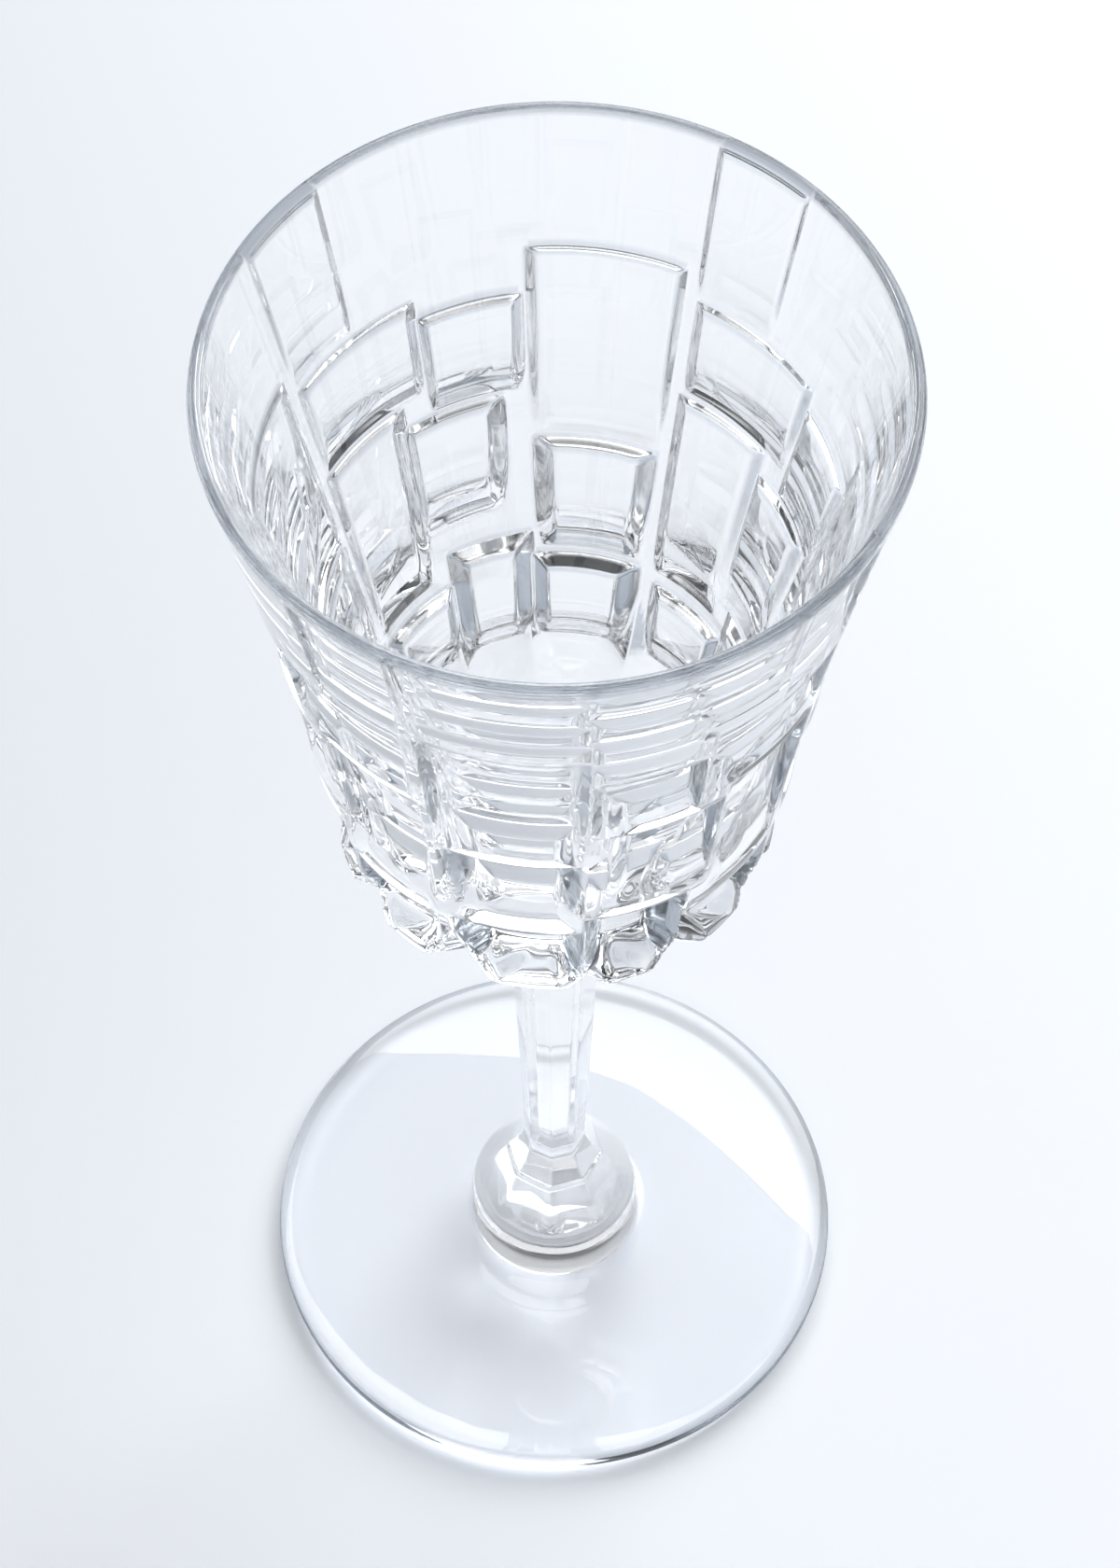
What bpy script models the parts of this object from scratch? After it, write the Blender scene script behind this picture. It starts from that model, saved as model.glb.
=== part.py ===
"""White wine glass: a bowl with a relief of stepped blocks, an octagonal stem, a bell knop and a foot.

Metres, +Z up. The origin is on the glass's axis, at the table. Azimuths are degrees from +Y towards +X.
"""

import math
from typing import NamedTuple

import bmesh
import bpy

MM = 0.001

# Joints: fused pieces keep this gap.
GAP = 0.3 * MM

# Bowl, outside: its radius grows from the base edge to the rim as a shallow curve.
RIM_HEIGHT = 204.0 * MM
RIM_RADIUS = 41.5 * MM
BASE_EDGE_HEIGHT = 118.0 * MM
BASE_EDGE_RADIUS = 28.2 * MM
BASE_FLARE = 0.104
BASE_ROUND = 2.6 * MM
UNDERSIDE_HEIGHT = 110.0 * MM
UNDERSIDE_RADIUS = 9.0 * MM

# Bowl, inside: a straight cone over a rounded floor.
LIP_THICKNESS = 1.7 * MM
INSIDE_SLOPE = 0.267
FLOOR_HEIGHT = 120.0 * MM
FLOOR_ROUND = 14.0 * MM

# Relief: four equal quarters, each with the recesses and notches below.
QUARTERS = 4
CUT_MARGIN = 3.0 * MM
FADE_CLEARANCE = 0.05 * MM
DEGREES_PER_FACET = 5.0
NOTCH_LOW = 106.0 * MM

# Stem
STEM_SIDES = 8
STEM_TURN = math.radians(-5.5)
STEM_TOP_RADIUS = 8.2 * MM
STEM_SHOULDER_HEIGHT = 98.0 * MM
STEM_SHOULDER_RADIUS = 6.57 * MM
STEM_WAIST_HEIGHT = 27.7 * MM
STEM_WAIST_RADIUS = 4.25 * MM
STEM_FOOT_RADIUS = 6.9 * MM

# Knop
KNOP_TOP = 22.6 * MM
KNOP_LINE_HEIGHT = 14.6 * MM
KNOP_LINE_RADIUS = 10.8 * MM
KNOP_BOTTOM = 6.0 * MM
KNOP_BOTTOM_RADIUS = 11.9 * MM
KNOP_SHOULDER = 7.0
KNOP_SIDE_RINGS = 10

# Foot
FOOT_RADIUS = 40.3 * MM
FOOT_EDGE = 2.0 * MM
FOOT_TOP_HEIGHT = 5.3 * MM
FOOT_TOP_RADIUS = 14.5 * MM
FOOT_FALL_HEIGHT = 4.8 * MM
FOOT_FALL_RADIUS = 28.0 * MM
FOOT_BOSS_RADIUS = 12.0 * MM

# Facets around each turned piece
BOWL_STEPS = 72
KNOP_STEPS = 48
FOOT_STEPS = 72


class Recess(NamedTuple):
    """A block of the relief: its sides in degrees, the ledge over it, its lower end, its depth and its face.

    The leans are the run of each side over the depth. The face is (share of the way down, of the depth).
    """

    left: float
    right: float
    top: float
    bottom: float
    depth: float
    left_lean: float
    right_lean: float
    face: tuple


class Notch(NamedTuple):
    """A V-shaped valley between the lowest blocks: its azimuth, its start, its slope and its sides' lean."""

    azimuth: float
    top: float
    growth: float
    lean: float


# A block's face stays deep and swells out at its lower end; a tile of the lowest row turns out flat.
BLOCK_FACE = ((0.0, 1.0), (0.6, 0.78), (0.85, 0.39), (1.0, 0.0))
TILE_FACE = ((0.0, 1.0), (0.6, 1.0), (1.0, 0.0))

RECESSES = (
    Recess(-62.5, -43.8, 202.0 * MM, 179.5 * MM, 1.0 * MM, 0.7, 0.4, BLOCK_FACE),
    Recess(-61.8, -30.1, 179.0 * MM, 164.6 * MM, 1.6 * MM, 0.65, 1.0, BLOCK_FACE),
    Recess(-62.5, -38.0, 164.0 * MM, 133.5 * MM, 2.0 * MM, 0.6, 1.3, BLOCK_FACE),
    Recess(-61.5, -33.2, 131.5 * MM, 117.0 * MM, 3.6 * MM, 0.5, 0.5, TILE_FACE),
    Recess(-29.4, -7.0, 176.1 * MM, 161.1 * MM, 2.3 * MM, 0.3, 0.7, BLOCK_FACE),
    Recess(-37.3, -10.8, 160.6 * MM, 142.0 * MM, 2.4 * MM, 0.35, 1.2, BLOCK_FACE),
    Recess(-32.5, -7.0, 137.0 * MM, 117.0 * MM, 4.6 * MM, 0.5, 0.66, TILE_FACE),
    Recess(-6.4, 25.8, 183.0 * MM, 153.6 * MM, 1.5 * MM, 0.95, 0.6, BLOCK_FACE),
    Recess(-6.4, 26.3, 153.0 * MM, 134.0 * MM, 2.9 * MM, 0.95, 1.0, BLOCK_FACE),
    Recess(-6.4, 26.0, 133.2 * MM, 117.0 * MM, 4.4 * MM, 0.5, 0.75, TILE_FACE),
)
NOTCHES = (
    Notch(-33.5, 126.0 * MM, 0.33, 1.3),
    Notch(-8.5, 123.0 * MM, 0.33, 1.3),
    Notch(25.5, 128.0 * MM, 0.33, 1.3),
)


def bowl_radius(height):
    """Outside radius of the bowl's envelope: base radius, plus a slope, plus a flare that reaches the rim."""
    above = height - BASE_EDGE_HEIGHT
    rise = RIM_HEIGHT - BASE_EDGE_HEIGHT
    curve = (RIM_RADIUS - BASE_EDGE_RADIUS - BASE_FLARE * rise) / rise**2
    return BASE_EDGE_RADIUS + BASE_FLARE * above + curve * above**2


def arc(centre_r, centre_z, radius, start, end, count):
    """Points of a circular arc in the turning plane, angles in degrees from +r."""
    angles = [math.radians(start + (end - start) * i / count) for i in range(count + 1)]
    return [(centre_r + radius * math.cos(a), centre_z + radius * math.sin(a)) for a in angles]


def glass_material(name):
    """Clear, colourless, polished glass."""
    material = bpy.data.materials.new(name)
    material.use_nodes = True
    shader = material.node_tree.nodes["Principled BSDF"]
    shader.inputs["Base Color"].default_value = (0.94, 0.96, 0.98, 1.0)
    shader.inputs["Roughness"].default_value = 0.02
    shader.inputs["Metallic"].default_value = 0.0
    shader.inputs["IOR"].default_value = 1.52
    shader.inputs["Transmission Weight"].default_value = 1.0
    return material


def new_collection(name):
    """A collection in the scene."""
    collection = bpy.data.collections.new(name)
    bpy.context.scene.collection.children.link(collection)
    return collection


def turned(name, profile, steps, collection):
    """A body turned about Z from a profile of (radius, height) points that starts and ends on the axis."""
    mesh = bpy.data.meshes.new(name)
    edges = [(i, i + 1) for i in range(len(profile) - 1)]
    mesh.from_pydata([(r, 0.0, z) for r, z in profile], edges, [])
    body = bpy.data.objects.new(name, mesh)
    collection.objects.link(body)
    screw = body.modifiers.new("Turn", "SCREW")
    screw.axis = "Z"
    screw.steps = steps
    screw.render_steps = steps
    screw.use_merge_vertices = True
    screw.merge_threshold = 0.01 * MM
    mesh.materials.append(glass_material(name + "_glass"))
    return body


def bowl_profile():
    """Inside floor, cone, rolled lip, outside envelope, rounded base edge and dished underside."""
    lean = math.degrees(math.atan(INSIDE_SLOPE))
    half_lip = LIP_THICKNESS / 2
    lip_centre = (RIM_RADIUS - half_lip, RIM_HEIGHT - half_lip)
    cone_top = (RIM_RADIUS - LIP_THICKNESS, lip_centre[1])
    round_centre_z = FLOOR_HEIGHT + FLOOR_ROUND
    cone_there = cone_top[0] - INSIDE_SLOPE * (cone_top[1] - round_centre_z)
    round_centre_r = cone_there - FLOOR_ROUND / math.cos(math.radians(lean))
    points = [(0.0, FLOOR_HEIGHT)]
    points += arc(round_centre_r, round_centre_z, FLOOR_ROUND, -90.0, -lean, 5)
    points += arc(*lip_centre, half_lip, 180.0, 0.0, 4)
    outer_heights = (193.0 * MM, 182.0 * MM, 168.0 * MM, 150.0 * MM, 134.0 * MM, BASE_EDGE_HEIGHT)
    points += [(bowl_radius(z), z) for z in outer_heights]
    points += arc(BASE_EDGE_RADIUS - BASE_ROUND, BASE_EDGE_HEIGHT, BASE_ROUND, 0.0, -70.0, 3)[1:]
    points += [(UNDERSIDE_RADIUS, UNDERSIDE_HEIGHT), (0.0, UNDERSIDE_HEIGHT)]
    return points


def add_recess(bm, recess, turn):
    """A wedge that cuts one block of the relief, its face narrower than its mouth."""
    outer = bowl_radius(recess.top) + CUT_MARGIN
    section = [(outer, recess.top), (outer, recess.bottom)]
    for down, share in reversed(recess.face):
        height = recess.top + down * (recess.bottom - recess.top)
        clearance = FADE_CLEARANCE if share == 0.0 else 0.0
        section.append((bowl_radius(height) - share * recess.depth + clearance, height))
    width = math.radians(recess.right - recess.left)
    start = math.radians(90.0 - recess.right)
    columns = max(2, round((recess.right - recess.left) / DEGREES_PER_FACET)) + 1
    rings = []
    for column in range(columns):
        share = column / (columns - 1)
        ring = []
        for radius, height in section:
            depth = max(0.0, bowl_radius(height) - radius)
            right_run = recess.right_lean * depth / radius
            left_run = recess.left_lean * depth / radius
            angle = turn + start + right_run + share * (width - right_run - left_run)
            ring.append(bm.verts.new((radius * math.cos(angle), radius * math.sin(angle), height)))
        rings.append(ring)
    bm.faces.new(rings[0])
    bm.faces.new(rings[-1])
    count = len(section)
    for ring, after in zip(rings, rings[1:]):
        for i in range(count):
            j = (i + 1) % count
            bm.faces.new((ring[i], ring[j], after[j], after[i]))


def add_notch(bm, notch, turn):
    """A four-cornered wedge that cuts one valley: a point on the wall, and a wide triangle below the bowl."""
    middle = turn + math.radians(90.0 - notch.azimuth)
    top_radius = bowl_radius(notch.top)
    fall = notch.top - NOTCH_LOW
    deep_radius = top_radius - (notch.growth + BASE_FLARE) * fall
    out_radius = top_radius + CUT_MARGIN
    half_width = notch.lean * (out_radius - deep_radius) / out_radius
    corners = (
        (top_radius, middle, notch.top),
        (deep_radius, middle, NOTCH_LOW),
        (out_radius, middle - half_width, NOTCH_LOW),
        (out_radius, middle + half_width, NOTCH_LOW),
    )
    top, deep, right, left = [bm.verts.new((r * math.cos(a), r * math.sin(a), z)) for r, a, z in corners]
    for face in ((top, deep, right), (top, left, deep), (top, right, left), (deep, left, right)):
        bm.faces.new(face)


def relief_cutter(name, forms, add_form, collection):
    """All the recesses, or all the notches, of the four quarters as one cutting object."""
    bm = bmesh.new()
    for quarter in range(QUARTERS):
        for form in forms:
            add_form(bm, form, quarter * 2 * math.pi / QUARTERS)
    bmesh.ops.recalc_face_normals(bm, faces=bm.faces)
    mesh = bpy.data.meshes.new(name)
    bm.to_mesh(mesh)
    bm.free()
    cutter = bpy.data.objects.new(name, mesh)
    cutter.hide_render = True
    cutter.display_type = "WIRE"
    collection.objects.link(cutter)
    return cutter


def make_bowl(parts, cutters):
    """The bowl: a turned envelope with the block recesses and the notches cut into its outside."""
    bowl = turned("bowl", bowl_profile(), BOWL_STEPS, parts)
    recesses = relief_cutter("bowl_recesses", RECESSES, add_recess, cutters)
    notches = relief_cutter("bowl_notches", NOTCHES, add_notch, cutters)
    for cutter in (recesses, notches):
        cut = bowl.modifiers.new(cutter.name, "BOOLEAN")
        cut.operation = "DIFFERENCE"
        cut.solver = "EXACT"
        cut.object = cutter
    return bowl


def make_stem(parts):
    """The octagonal stem: a flare under the bowl, a long taper, and a short straight flare onto the knop."""
    top = UNDERSIDE_HEIGHT - GAP
    foot = KNOP_TOP + GAP
    points = (
        (0.0, top),
        (STEM_TOP_RADIUS, top),
        (STEM_SHOULDER_RADIUS, STEM_SHOULDER_HEIGHT),
        (STEM_WAIST_RADIUS, STEM_WAIST_HEIGHT),
        (STEM_FOOT_RADIUS, foot),
        (0.0, foot),
    )
    stem = turned("stem", points, STEM_SIDES, parts)
    stem.rotation_euler.z = STEM_TURN
    stem.modifiers["Turn"].use_smooth_shade = False
    return stem


def make_knop(parts):
    """The bell-shaped knop: a straight skirt, a rounded shoulder and an upright side, flat at both joints."""
    points = [(0.0, KNOP_TOP), (STEM_FOOT_RADIUS, KNOP_TOP)]
    for ring in range(KNOP_SIDE_RINGS + 1):
        way_up = 1.0 - ring / KNOP_SIDE_RINGS
        radius = KNOP_BOTTOM_RADIUS - (KNOP_BOTTOM_RADIUS - KNOP_LINE_RADIUS) * way_up**KNOP_SHOULDER
        points.append((radius, KNOP_BOTTOM + (KNOP_LINE_HEIGHT - KNOP_BOTTOM) * way_up))
    points.append((0.0, KNOP_BOTTOM))
    return turned("knop", points, KNOP_STEPS, parts)


def make_foot(parts):
    """The foot: a low boss under the knop, a gently falling top, a rounded edge and a flat underside."""
    boss_top = KNOP_BOTTOM - GAP
    points = [(0.0, boss_top), (FOOT_BOSS_RADIUS, boss_top)]
    points.append((FOOT_TOP_RADIUS, FOOT_TOP_HEIGHT))
    points.append((FOOT_FALL_RADIUS, FOOT_FALL_HEIGHT))
    points += arc(FOOT_RADIUS - FOOT_EDGE, FOOT_EDGE, FOOT_EDGE, 82.0, -90.0, 9)
    points.append((0.0, 0.0))
    return turned("foot", points, FOOT_STEPS, parts)


def main():
    """Clears the scene and builds the glass."""
    for old in list(bpy.data.objects):
        bpy.data.objects.remove(old, do_unlink=True)
    parts = new_collection("wine_glass")
    cutters = new_collection("wine_glass_cutters")
    axis = bpy.data.objects.new("glass_axis", None)
    parts.objects.link(axis)
    for piece in (make_bowl(parts, cutters), make_stem(parts), make_knop(parts), make_foot(parts)):
        piece.parent = axis


main()
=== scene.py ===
"""A clear crystal glass for white wine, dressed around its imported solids: bowl, stem, knop and foot.

Metres, +Z up. The glass's axis is Z and its foot stands at height 0.
Azimuths are degrees from +Y towards +X.
"""

import logging
import math
from dataclasses import dataclass
from enum import Enum
from typing import Callable

import bpy
import numpy as np
from mathutils import Matrix, Quaternion, Vector


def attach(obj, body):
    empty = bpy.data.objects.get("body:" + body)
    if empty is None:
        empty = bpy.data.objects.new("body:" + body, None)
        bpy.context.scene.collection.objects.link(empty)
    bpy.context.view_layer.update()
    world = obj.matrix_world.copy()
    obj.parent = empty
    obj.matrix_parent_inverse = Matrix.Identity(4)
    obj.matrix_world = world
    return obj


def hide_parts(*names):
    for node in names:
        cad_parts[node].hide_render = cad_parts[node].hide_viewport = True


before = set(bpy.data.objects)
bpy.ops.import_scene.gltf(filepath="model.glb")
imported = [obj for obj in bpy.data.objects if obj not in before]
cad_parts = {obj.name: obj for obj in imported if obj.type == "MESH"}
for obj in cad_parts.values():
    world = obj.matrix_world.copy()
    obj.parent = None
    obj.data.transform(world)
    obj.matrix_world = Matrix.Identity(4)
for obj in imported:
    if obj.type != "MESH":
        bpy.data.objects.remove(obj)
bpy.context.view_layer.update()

LOG = logging.getLogger("wine_glass")
MM = 0.001
BODY = "root"
# Point attribute: share of painted shade, a dark tint on the lip, on the relief's sides and ledges and on
# the foot's edge, standing in for the dark lines that bent light gives there.
PAINTED_SHADE_SHARE = "edge"
# Fused pieces stop this far from each other.
SEAM = 0.01 * MM
# Points at which the wanted spacing of rows or columns is summed up.
CROWD_STEPS = 20001
# What white light keeps in the foot: partly the thick glass's absorption, partly painted shadow of the glass
# on the table under it.
FOOT_SHADOW_TINT = (0.935, 0.94, 0.948)


class Faces(Enum):
    """What a face of a glass piece is; the value is its material slot."""

    CLEAR = 0
    FUSED = 1


def smooth_step(x: np.ndarray) -> np.ndarray:
    """Zero below 0, one above 1, and three x squared less two x cubed between."""
    t = np.clip(x, 0.0, 1.0)
    return t * t * (3.0 - 2.0 * t)


def crowd(low: float, high: float, spacing: Callable[[np.ndarray], np.ndarray], count: int) -> np.ndarray:
    """Positions that stand closer together where the wanted spacing is smaller.

    The running sum of one over the spacing is cut into equal shares.

    Args:
        low: first position.
        high: last position.
        spacing: wanted spacing at each position.
        count: how many positions.

    Returns:
        The positions, rising from low to high.
    """
    x = np.linspace(low, high, CROWD_STEPS)
    density = 1.0 / spacing(x)
    total = np.concatenate(([0.0], np.cumsum((density[1:] + density[:-1]) * 0.5 * np.diff(x))))
    return np.interp(np.linspace(0.0, total[-1], count), total, x)


def arc(centre: tuple[float, float], radius: float, start: float, end: float, count: int) -> np.ndarray:
    """Points of a circular arc in the turning plane: centre plus radius times (cos, sin).

    Args:
        centre: radius and height of the arc's centre.
        radius: the arc's own radius.
        start: first angle in degrees from outwards, rising upwards.
        end: last angle.
        count: how many points.

    Returns:
        (count, 2) array of radius and height.
    """
    angle = np.radians(np.linspace(start, end, count))
    return np.stack((centre[0] + radius * np.cos(angle), centre[1] + radius * np.sin(angle)), axis=1)


def bend(points: tuple[tuple[float, float], ...], count: int) -> np.ndarray:
    """A cubic Bezier curve in the turning plane: the four points weighted by Bernstein's polynomials.

    Args:
        points: four (radius, height) control points.
        count: how many points along the curve.

    Returns:
        (count, 2) array of radius and height.
    """
    t = np.linspace(0.0, 1.0, count)[:, None]
    s = 1.0 - t
    p = np.array(points)
    return s**3 * p[0] + 3.0 * s**2 * t * p[1] + 3.0 * s * t**2 * p[2] + t**3 * p[3]


def straight(start: tuple[float, float], end: tuple[float, float], count: int) -> np.ndarray:
    """Evenly spaced (radius, height) points on a line, ends included."""
    return np.linspace(start, end, count)


def turn(radius: np.ndarray, height: np.ndarray, angle: np.ndarray) -> np.ndarray:
    """Rings of points: radius times (cos, sin) of the angle, at the height.

    Args:
        radius: (rows, columns) distances from the axis.
        height: (rows, columns) heights.
        angle: (columns,) angles from +X, counter-clockwise.

    Returns:
        (rows, columns, 3) points.
    """
    return np.stack((radius * np.cos(angle), radius * np.sin(angle), height), axis=2)


@dataclass
class RingBody:
    """A closed body made of rings about the axis, with a point on the axis at each end.

    Attributes:
        rings: (rows, columns, 3) points, each ring counter-clockwise, so that faces point outwards.
        first_height: height of the point that closes the first ring.
        last_height: height of the point that closes the last ring.
        edge: (rows, columns) share of painted shade, or (rows, 1) where it is even all around.
        first_fused: whether the faces that close the first ring are fused to a neighbour.
        last_fused: the same for the last ring.
    """

    rings: np.ndarray
    first_height: float
    last_height: float
    edge: np.ndarray
    first_fused: bool = False
    last_fused: bool = False

    def points(self) -> np.ndarray:
        """All points: the first end, the rings in order, the last end."""
        ends = np.array([[[0.0, 0.0, self.first_height]], [[0.0, 0.0, self.last_height]]])
        return np.concatenate((ends[0], self.rings.reshape(-1, 3), ends[1]))

    def corners(self) -> tuple[np.ndarray, np.ndarray, np.ndarray]:
        """Faces as triangle fans at the ends and a quad between each two rings and columns.

        Returns:
            The first fan's, the quads' and the last fan's point numbers, one face a row.
        """
        rows, columns = self.rings.shape[:2]
        number = 1 + np.arange(rows * columns).reshape(rows, columns)
        after = np.roll(number, -1, axis=1)
        quads = np.stack((number[:-1], number[1:], after[1:], after[:-1]), axis=2).reshape(-1, 4)
        first = np.stack((np.zeros(columns, int), number[0], after[0]), axis=1)
        last = np.stack((np.full(columns, 1 + rows * columns), after[-1], number[-1]), axis=1)
        return first, quads, last

    def to_object(self, name: str) -> bpy.types.Object:
        """Puts the body into the scene.

        Args:
            name: the piece's name.

        Returns:
            The new object, at the origin, smooth but for its fused ends.
        """
        first, quads, last = self.corners()
        points = self.points()
        loops = np.concatenate((first.ravel(), quads.ravel(), last.ravel()))
        sizes = np.concatenate((np.full(len(first), 3), np.full(len(quads), 4), np.full(len(last), 3)))
        starts = np.concatenate(([0], np.cumsum(sizes)[:-1]))
        fused = np.zeros(len(sizes), bool)
        fused[: len(first)] = self.first_fused
        fused[len(sizes) - len(last) :] = self.last_fused
        mesh = bpy.data.meshes.new(name)
        mesh.vertices.add(len(points))
        mesh.loops.add(len(loops))
        mesh.polygons.add(len(sizes))
        mesh.vertices.foreach_set("co", points.astype(np.float32).ravel())
        mesh.loops.foreach_set("vertex_index", loops.astype(np.int32))
        mesh.polygons.foreach_set("loop_start", starts.astype(np.int32))
        slots = np.where(fused, Faces.FUSED.value, Faces.CLEAR.value)
        mesh.polygons.foreach_set("material_index", slots.astype(np.int32))
        mesh.polygons.foreach_set("use_smooth", ~fused)
        # Painted shade share, stored as a point attribute.
        share = np.concatenate(([0.0], np.broadcast_to(self.edge, self.rings.shape[:2]).ravel(), [0.0]))
        mesh.attributes.new(PAINTED_SHADE_SHARE, "FLOAT", "POINT").data.foreach_set("value", share.astype(np.float32))
        mesh.update(calc_edges=True)
        piece = bpy.data.objects.new(name, mesh)
        bpy.context.scene.collection.objects.link(piece)
        return piece


def facet_radius(angle: np.ndarray, sides: int, turned: float, softness: float) -> np.ndarray:
    """Outline of a regular polygon with softly rounded corners, about 1 at its corners.

    One over the p-norm of the cosines to each side's middle: a high p gives crisp corners.

    Args:
        angle: angles from +X, counter-clockwise.
        sides: how many sides.
        turned: angle of one corner.
        softness: how round the corners are; the norm's power is one over it.

    Returns:
        The outline's distance from the axis at each angle.
    """
    middles = turned + np.pi / sides + np.arange(sides) * 2.0 * np.pi / sides
    facing = np.clip(np.cos(angle[:, None] - middles[None, :]), 0.0, 1.0)
    norm = np.sum(facing ** (1.0 / softness), axis=1) ** softness
    return math.cos(math.pi / sides) / norm


@dataclass(frozen=True)
class ClearGlass:
    """Polished pressed crystal: colourless, with the faint ripple that the mould leaves, and painted shade
    at its edges.

    Attributes:
        tint: what white light keeps on its way through a wall.
        painted_shade_tint: painted shade: the dark colour mixed in where the edge attribute is high.
        edge_roughness: how soft the view into an edge is.
        ior: refractive index.
        ripple_size: width of a ripple.
        ripple_stretch: how much longer than wide a ripple is, along the axis.
        ripple_height: height of a ripple.
    """

    tint: tuple[float, float, float] = (0.996, 0.998, 0.999)
    painted_shade_tint: tuple[float, float, float] = (0.1, 0.145, 0.2)
    edge_roughness: float = 0.15
    ior: float = 1.52
    ripple_size: float = 9.0 * MM
    ripple_stretch: float = 2.5
    ripple_height: float = 0.012 * MM

    def material(self, name: str) -> bpy.types.Material:
        """The finish as a material.

        Args:
            name: the material's name.

        Returns:
            The new material.
        """
        material = bpy.data.materials.new(name)
        material.use_nodes = True
        nodes = material.node_tree.nodes
        links = material.node_tree.links
        shader = nodes["Principled BSDF"]
        # Painted shade: the edge attribute mixes a dark colour into the base colour and softens the view
        # there.
        edge = nodes.new("ShaderNodeAttribute")
        edge.attribute_name = PAINTED_SHADE_SHARE
        tint = nodes.new("ShaderNodeMix")
        tint.data_type = "RGBA"
        tint.inputs["A"].default_value = (*self.tint, 1.0)
        tint.inputs["B"].default_value = (*self.painted_shade_tint, 1.0)
        softness = nodes.new("ShaderNodeMath")
        softness.operation = "MULTIPLY"
        softness.inputs[1].default_value = self.edge_roughness
        links.new(edge.outputs["Fac"], tint.inputs["Factor"])
        links.new(tint.outputs["Result"], shader.inputs["Base Color"])
        links.new(edge.outputs["Fac"], softness.inputs[0])
        links.new(softness.outputs["Value"], shader.inputs["Roughness"])
        shader.inputs["IOR"].default_value = self.ior
        shader.inputs["Transmission Weight"].default_value = 1.0
        place = nodes.new("ShaderNodeTexCoord")
        stretch = nodes.new("ShaderNodeMapping")
        stretch.inputs["Scale"].default_value = (1.0, 1.0, 1.0 / self.ripple_stretch)
        ripple = nodes.new("ShaderNodeTexNoise")
        ripple.inputs["Scale"].default_value = 1.0 / self.ripple_size
        ripple.inputs["Detail"].default_value = 1.0
        relief = nodes.new("ShaderNodeBump")
        relief.inputs["Strength"].default_value = 1.0
        relief.inputs["Distance"].default_value = self.ripple_height
        links.new(place.outputs["Object"], stretch.inputs["Vector"])
        links.new(stretch.outputs["Vector"], ripple.inputs["Vector"])
        links.new(ripple.outputs["Fac"], relief.inputs["Height"])
        links.new(relief.outputs["Normal"], shader.inputs["Normal"])
        return material


@dataclass(frozen=True)
class FusedJoint:
    """The plane inside the glass where two pieces are fused: light goes straight on through it."""

    name: str = "fused_joint"

    def material(self) -> bpy.types.Material:
        """The finish as a material, made once and shared.

        Returns:
            The shared material.
        """
        known = bpy.data.materials.get(self.name)
        if known:
            return known
        material = bpy.data.materials.new(self.name)
        material.use_nodes = True
        nodes = material.node_tree.nodes
        nodes.remove(nodes["Principled BSDF"])
        through = nodes.new("ShaderNodeBsdfTransparent")
        through.inputs["Color"].default_value = (1.0, 1.0, 1.0, 1.0)
        material.node_tree.links.new(through.outputs["BSDF"], nodes["Material Output"].inputs["Surface"])
        return material


@dataclass(frozen=True)
class PaleTable:
    """A plain pale table top, lifted a little towards white for the eye and for the glass, with painted
    light that grows to the right and to the front.

    Attributes:
        colour: of the matt surface.
        roughness: how matt.
        lift: how much of its colour is added where it is looked at, straight or through the glass.
        painted_light_right: painted light: how much more, for each metre to the right.
        painted_light_back: painted light: how much more, for each metre to the back.
        lift_most: the most that is added.
    """

    colour: tuple[float, float, float] = (0.875, 0.9, 0.945)
    roughness: float = 0.8
    lift: float = 0.24
    painted_light_right: float = 0.6
    painted_light_back: float = -0.55
    lift_most: float = 0.5

    def material(self) -> bpy.types.Material:
        """The finish as a material.

        Returns:
            The new material.
        """
        material = bpy.data.materials.new("pale_table")
        material.use_nodes = True
        nodes = material.node_tree.nodes
        links = material.node_tree.links
        shader = nodes["Principled BSDF"]
        shader.inputs["Base Color"].default_value = (*self.colour, 1.0)
        shader.inputs["Roughness"].default_value = self.roughness
        shader.inputs["Specular IOR Level"].default_value = 0.0
        shader.inputs["Emission Color"].default_value = (*self.colour, 1.0)
        path = nodes.new("ShaderNodeLightPath")
        seen = path.outputs["Is Camera Ray"]
        for ray in ("Is Glossy Ray", "Is Transmission Ray"):
            either = nodes.new("ShaderNodeMath")
            either.operation = "MAXIMUM"
            links.new(seen, either.inputs[0])
            links.new(path.outputs[ray], either.inputs[1])
            seen = either.outputs[0]
        place = nodes.new("ShaderNodeTexCoord")
        # Painted light: the added level rises to the right and falls towards the back.
        across = nodes.new("ShaderNodeVectorMath")
        across.operation = "DOT_PRODUCT"
        across.inputs[1].default_value = (self.painted_light_right, self.painted_light_back, 0.0)
        level = nodes.new("ShaderNodeMath")
        level.operation = "ADD"
        level.inputs[1].default_value = self.lift
        level_held = nodes.new("ShaderNodeClamp")
        level_held.inputs["Max"].default_value = self.lift_most
        lift = nodes.new("ShaderNodeMath")
        lift.operation = "MULTIPLY"
        links.new(place.outputs["Object"], across.inputs[0])
        links.new(across.outputs["Value"], level.inputs[0])
        links.new(level.outputs[0], level_held.inputs["Value"])
        links.new(level_held.outputs["Result"], lift.inputs[0])
        links.new(seen, lift.inputs[1])
        links.new(lift.outputs[0], shader.inputs["Emission Strength"])
        return material


# Power of the way down a block's face: one is a straight slant, more keeps it deep for longer.
FACE_BOW = 3.0


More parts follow.
